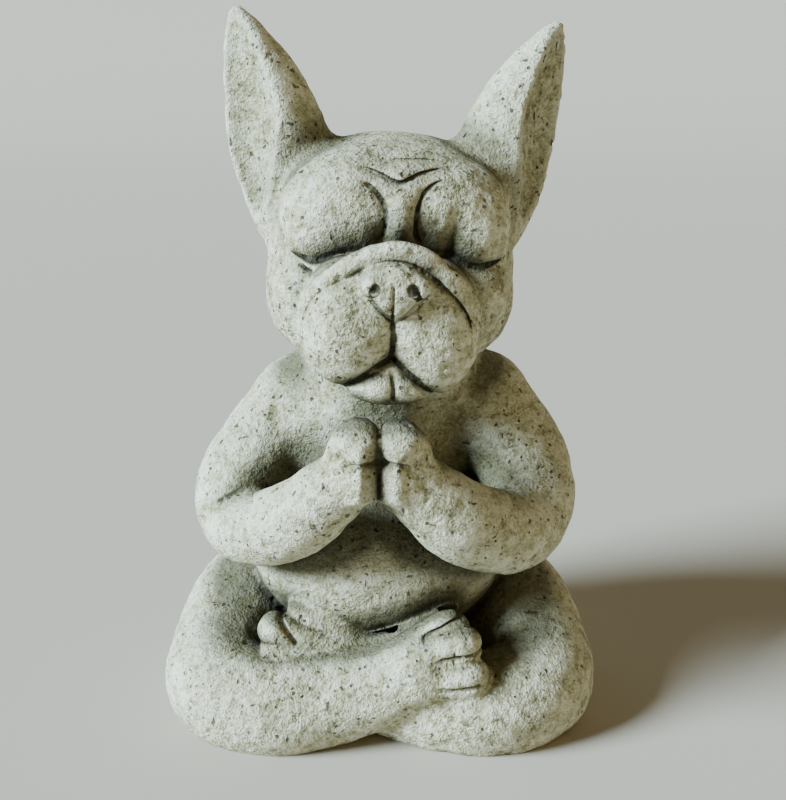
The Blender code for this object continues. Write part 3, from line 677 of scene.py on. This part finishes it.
    # painted shade and dirt in the carved lines, where other forms shut the stone in, and dark in every hole
    # and drag mark
    hollow = addNode(tree, "ShaderNodeAttribute", give="Fac", attribute_name="hollow")
    shutIn = addNode(tree, "ShaderNodeMath", {0: cloud["speckle"], 1: 0.16, 2: hollow},
                     operation="MULTIPLY_ADD")
    inLines = addNode(tree, "ShaderNodeMapRange", {"Value": shutIn, "From Min": 0.52, "From Max": 0.9,
                                                   "To Max": stoneFinish["mostShadeAndDirt"]})
    strength = addNode(tree, "ShaderNodeMapRange", {"Value": cloud["mottle"], "From Min": 0.35,
                                                    "From Max": 0.6, "To Min": 0.95, "To Max": 0.7})
    inHoles = addNode(tree, "ShaderNodeMath", {0: marks, 1: strength}, operation="MULTIPLY")
    shadeAndDirt = addNode(tree, "ShaderNodeMath", {0: inLines, 1: inHoles}, operation="MAXIMUM")
    colour = addNode(tree, "ShaderNodeMix", {"Factor": shadeAndDirt, 6: colour, 7: linear(stoneFinish["shadeAndDirt"])},
                     give=2, data_type="RGBA")
    dull = addNode(tree, "ShaderNodeMapRange", {"Value": shadeAndDirt, "To Min": stoneFinish["dryRoughness"],
                                                "To Max": stoneFinish["shadeAndDirtRoughness"]})
    tree.links.new(colour, shader.inputs["Base Color"])
    tree.links.new(dull, shader.inputs["Roughness"])
    shader.inputs["IOR"].default_value = 1.5
    shader.inputs["Specular IOR Level"].default_value = stoneFinish["gloss"]

    # relief too fine for the mesh: the holes go in, and the three finer clouds stand out
    height = addNode(tree, "ShaderNodeMath", {0: marks, 1: -stoneFinish["holeDepth"], 2: 0.0},
                     operation="MULTIPLY_ADD")
    for name, share in (("patch", 0.8), ("speckle", 0.6), ("grain", 0.25)):
        height = addNode(tree, "ShaderNodeMath", {0: cloud[name], 1: share, 2: height},
                         operation="MULTIPLY_ADD")
    bump = addNode(tree, "ShaderNodeBump", {"Height": height, "Strength": 1.0,
                                            "Distance": stoneFinish["relief"] / 1000})
    tree.links.new(bump, shader.inputs["Normal"])
    print("stone material ready", len(tree.nodes), "nodes")
    return material


statue = makeStatue()
statue.data.materials.append(castStone())
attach(statue, "root")
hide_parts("statue")


# Stage, lights and camera

stage = {
    "floorColour": "#aca493", "floorRoughness": 0.85,
    "sky": "#b89c6e", "skyPower": 0.13,  # what lights the shade
    "horizon": "#a9aba8",                # what the camera sees past the paper
    "key": {"from": (-1.0, -0.34, 0.56), "spread": 22.0, "power": 15.0, "colour": "#d4eaff"},
    "fill": {"from": (1.0, -0.75, 0.75), "spread": 80.0, "power": 0.75, "colour": "#f8e0a4"},
    "sweepHalf": 6.0, "sweepStart": 1.6, "sweepRadius": 1.2,  # metres
}
view = {
    "at": (0.0054, -0.4388, 0.282),
    "down": 19.6,  # degrees
    "sensor": 36.0, "focal": 1122 / 800,  # mm, and the focal length in heights of the picture
    "nearest": 0.02,
}


def makeSweep():
    work = bmesh.new()
    bmesh.ops.create_grid(work, x_segments=2, y_segments=160, size=stage["sweepHalf"])
    start, radius = stage["sweepStart"], stage["sweepRadius"]
    for vert in work.verts:  # past its start the paper curves up into a wall
        over = vert.co.y - start
        if over > 0.0:
            angle = min(over / radius, math.pi / 2)
            vert.co.y = start + radius * math.sin(angle)
            vert.co.z = radius * (1.0 - math.cos(angle)) + max(0.0, over - radius * math.pi / 2)
    mesh = bpy.data.meshes.new("sweep")
    work.to_mesh(mesh)
    work.free()
    mesh.shade_smooth()
    sweep = bpy.data.objects.new("sweep", mesh)
    bpy.context.collection.objects.link(sweep)
    paper = bpy.data.materials.new("mattPaperSweep")
    paper.use_nodes = True
    shader = paper.node_tree.nodes["Principled BSDF"]
    shader.inputs["Base Color"].default_value = linear(stage["floorColour"])
    shader.inputs["Roughness"].default_value = stage["floorRoughness"]
    mesh.materials.append(paper)


def makeLight(name, settings):
    lamp = bpy.data.lights.new(name, "SUN")
    lamp.angle = math.radians(settings["spread"])
    lamp.energy = settings["power"]
    lamp.color = linear(settings["colour"])[:3]
    holder = bpy.data.objects.new(name, lamp)
    holder.location = settings["from"]
    holder.rotation_euler = Vector(settings["from"]).to_track_quat("Z", "Y").to_euler()
    bpy.context.collection.objects.link(holder)


makeSweep()
makeLight("key", stage["key"])
makeLight("fill", stage["fill"])
world = bpy.data.worlds.new("sky")
world.use_nodes = True
sky = world.node_tree
glow = addNode(sky, "ShaderNodeBackground", {"Color": linear(stage["sky"]), "Strength": stage["skyPower"]})
seen = addNode(sky, "ShaderNodeBackground", {"Color": linear(stage["horizon"]), "Strength": 1.0})
toCamera = addNode(sky, "ShaderNodeLightPath", give="Is Camera Ray")
beyond = addNode(sky, "ShaderNodeMixShader", {0: toCamera, 1: glow, 2: seen})
sky.links.new(beyond, sky.nodes["World Output"].inputs["Surface"])
bpy.context.scene.world = world
camera = bpy.data.objects.new("camera", bpy.data.cameras.new("camera"))
camera.data.sensor_width = view["sensor"]
camera.data.lens = view["focal"] * view["sensor"]
camera.data.clip_start = view["nearest"]
camera.location = view["at"]
camera.rotation_euler = (math.radians(90.0 - view["down"]), 0.0, 0.0)
bpy.context.collection.objects.link(camera)
bpy.context.scene.camera = camera
print("stage, lights and camera placed")
